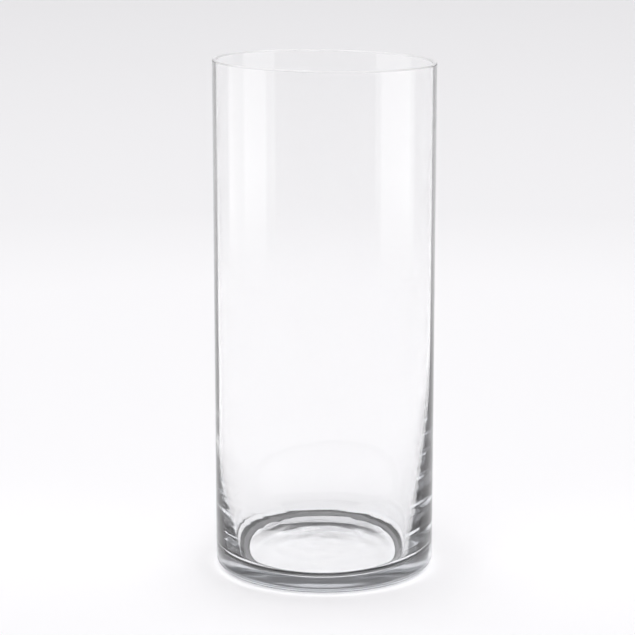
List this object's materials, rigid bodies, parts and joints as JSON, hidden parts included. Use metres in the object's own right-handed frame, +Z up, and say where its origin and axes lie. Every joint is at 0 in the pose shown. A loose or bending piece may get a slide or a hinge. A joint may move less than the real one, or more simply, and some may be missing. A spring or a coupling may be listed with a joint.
{
  "type": "glass cylinder vase",
  "caption": "Tall straight-sided clear glass cylinder vase with a thick solid base, rounded heel and fire-polished open rim.",
  "frame": {"origin": "centre of the foot, on the plane the vase stands on", "axes": "+Z up along the cylinder's axis, out of the mouth; the vase is round, so +X and +Y are free"},
  "size_m": [0.15, 0.15, 0.35],
  "materials": {
    "glass": "clear colourless soda-lime glass, smooth and glossy inside and out"
  },
  "bodies": {
    "root": {"vase_body": "glass"}
  },
  "joints": []
}
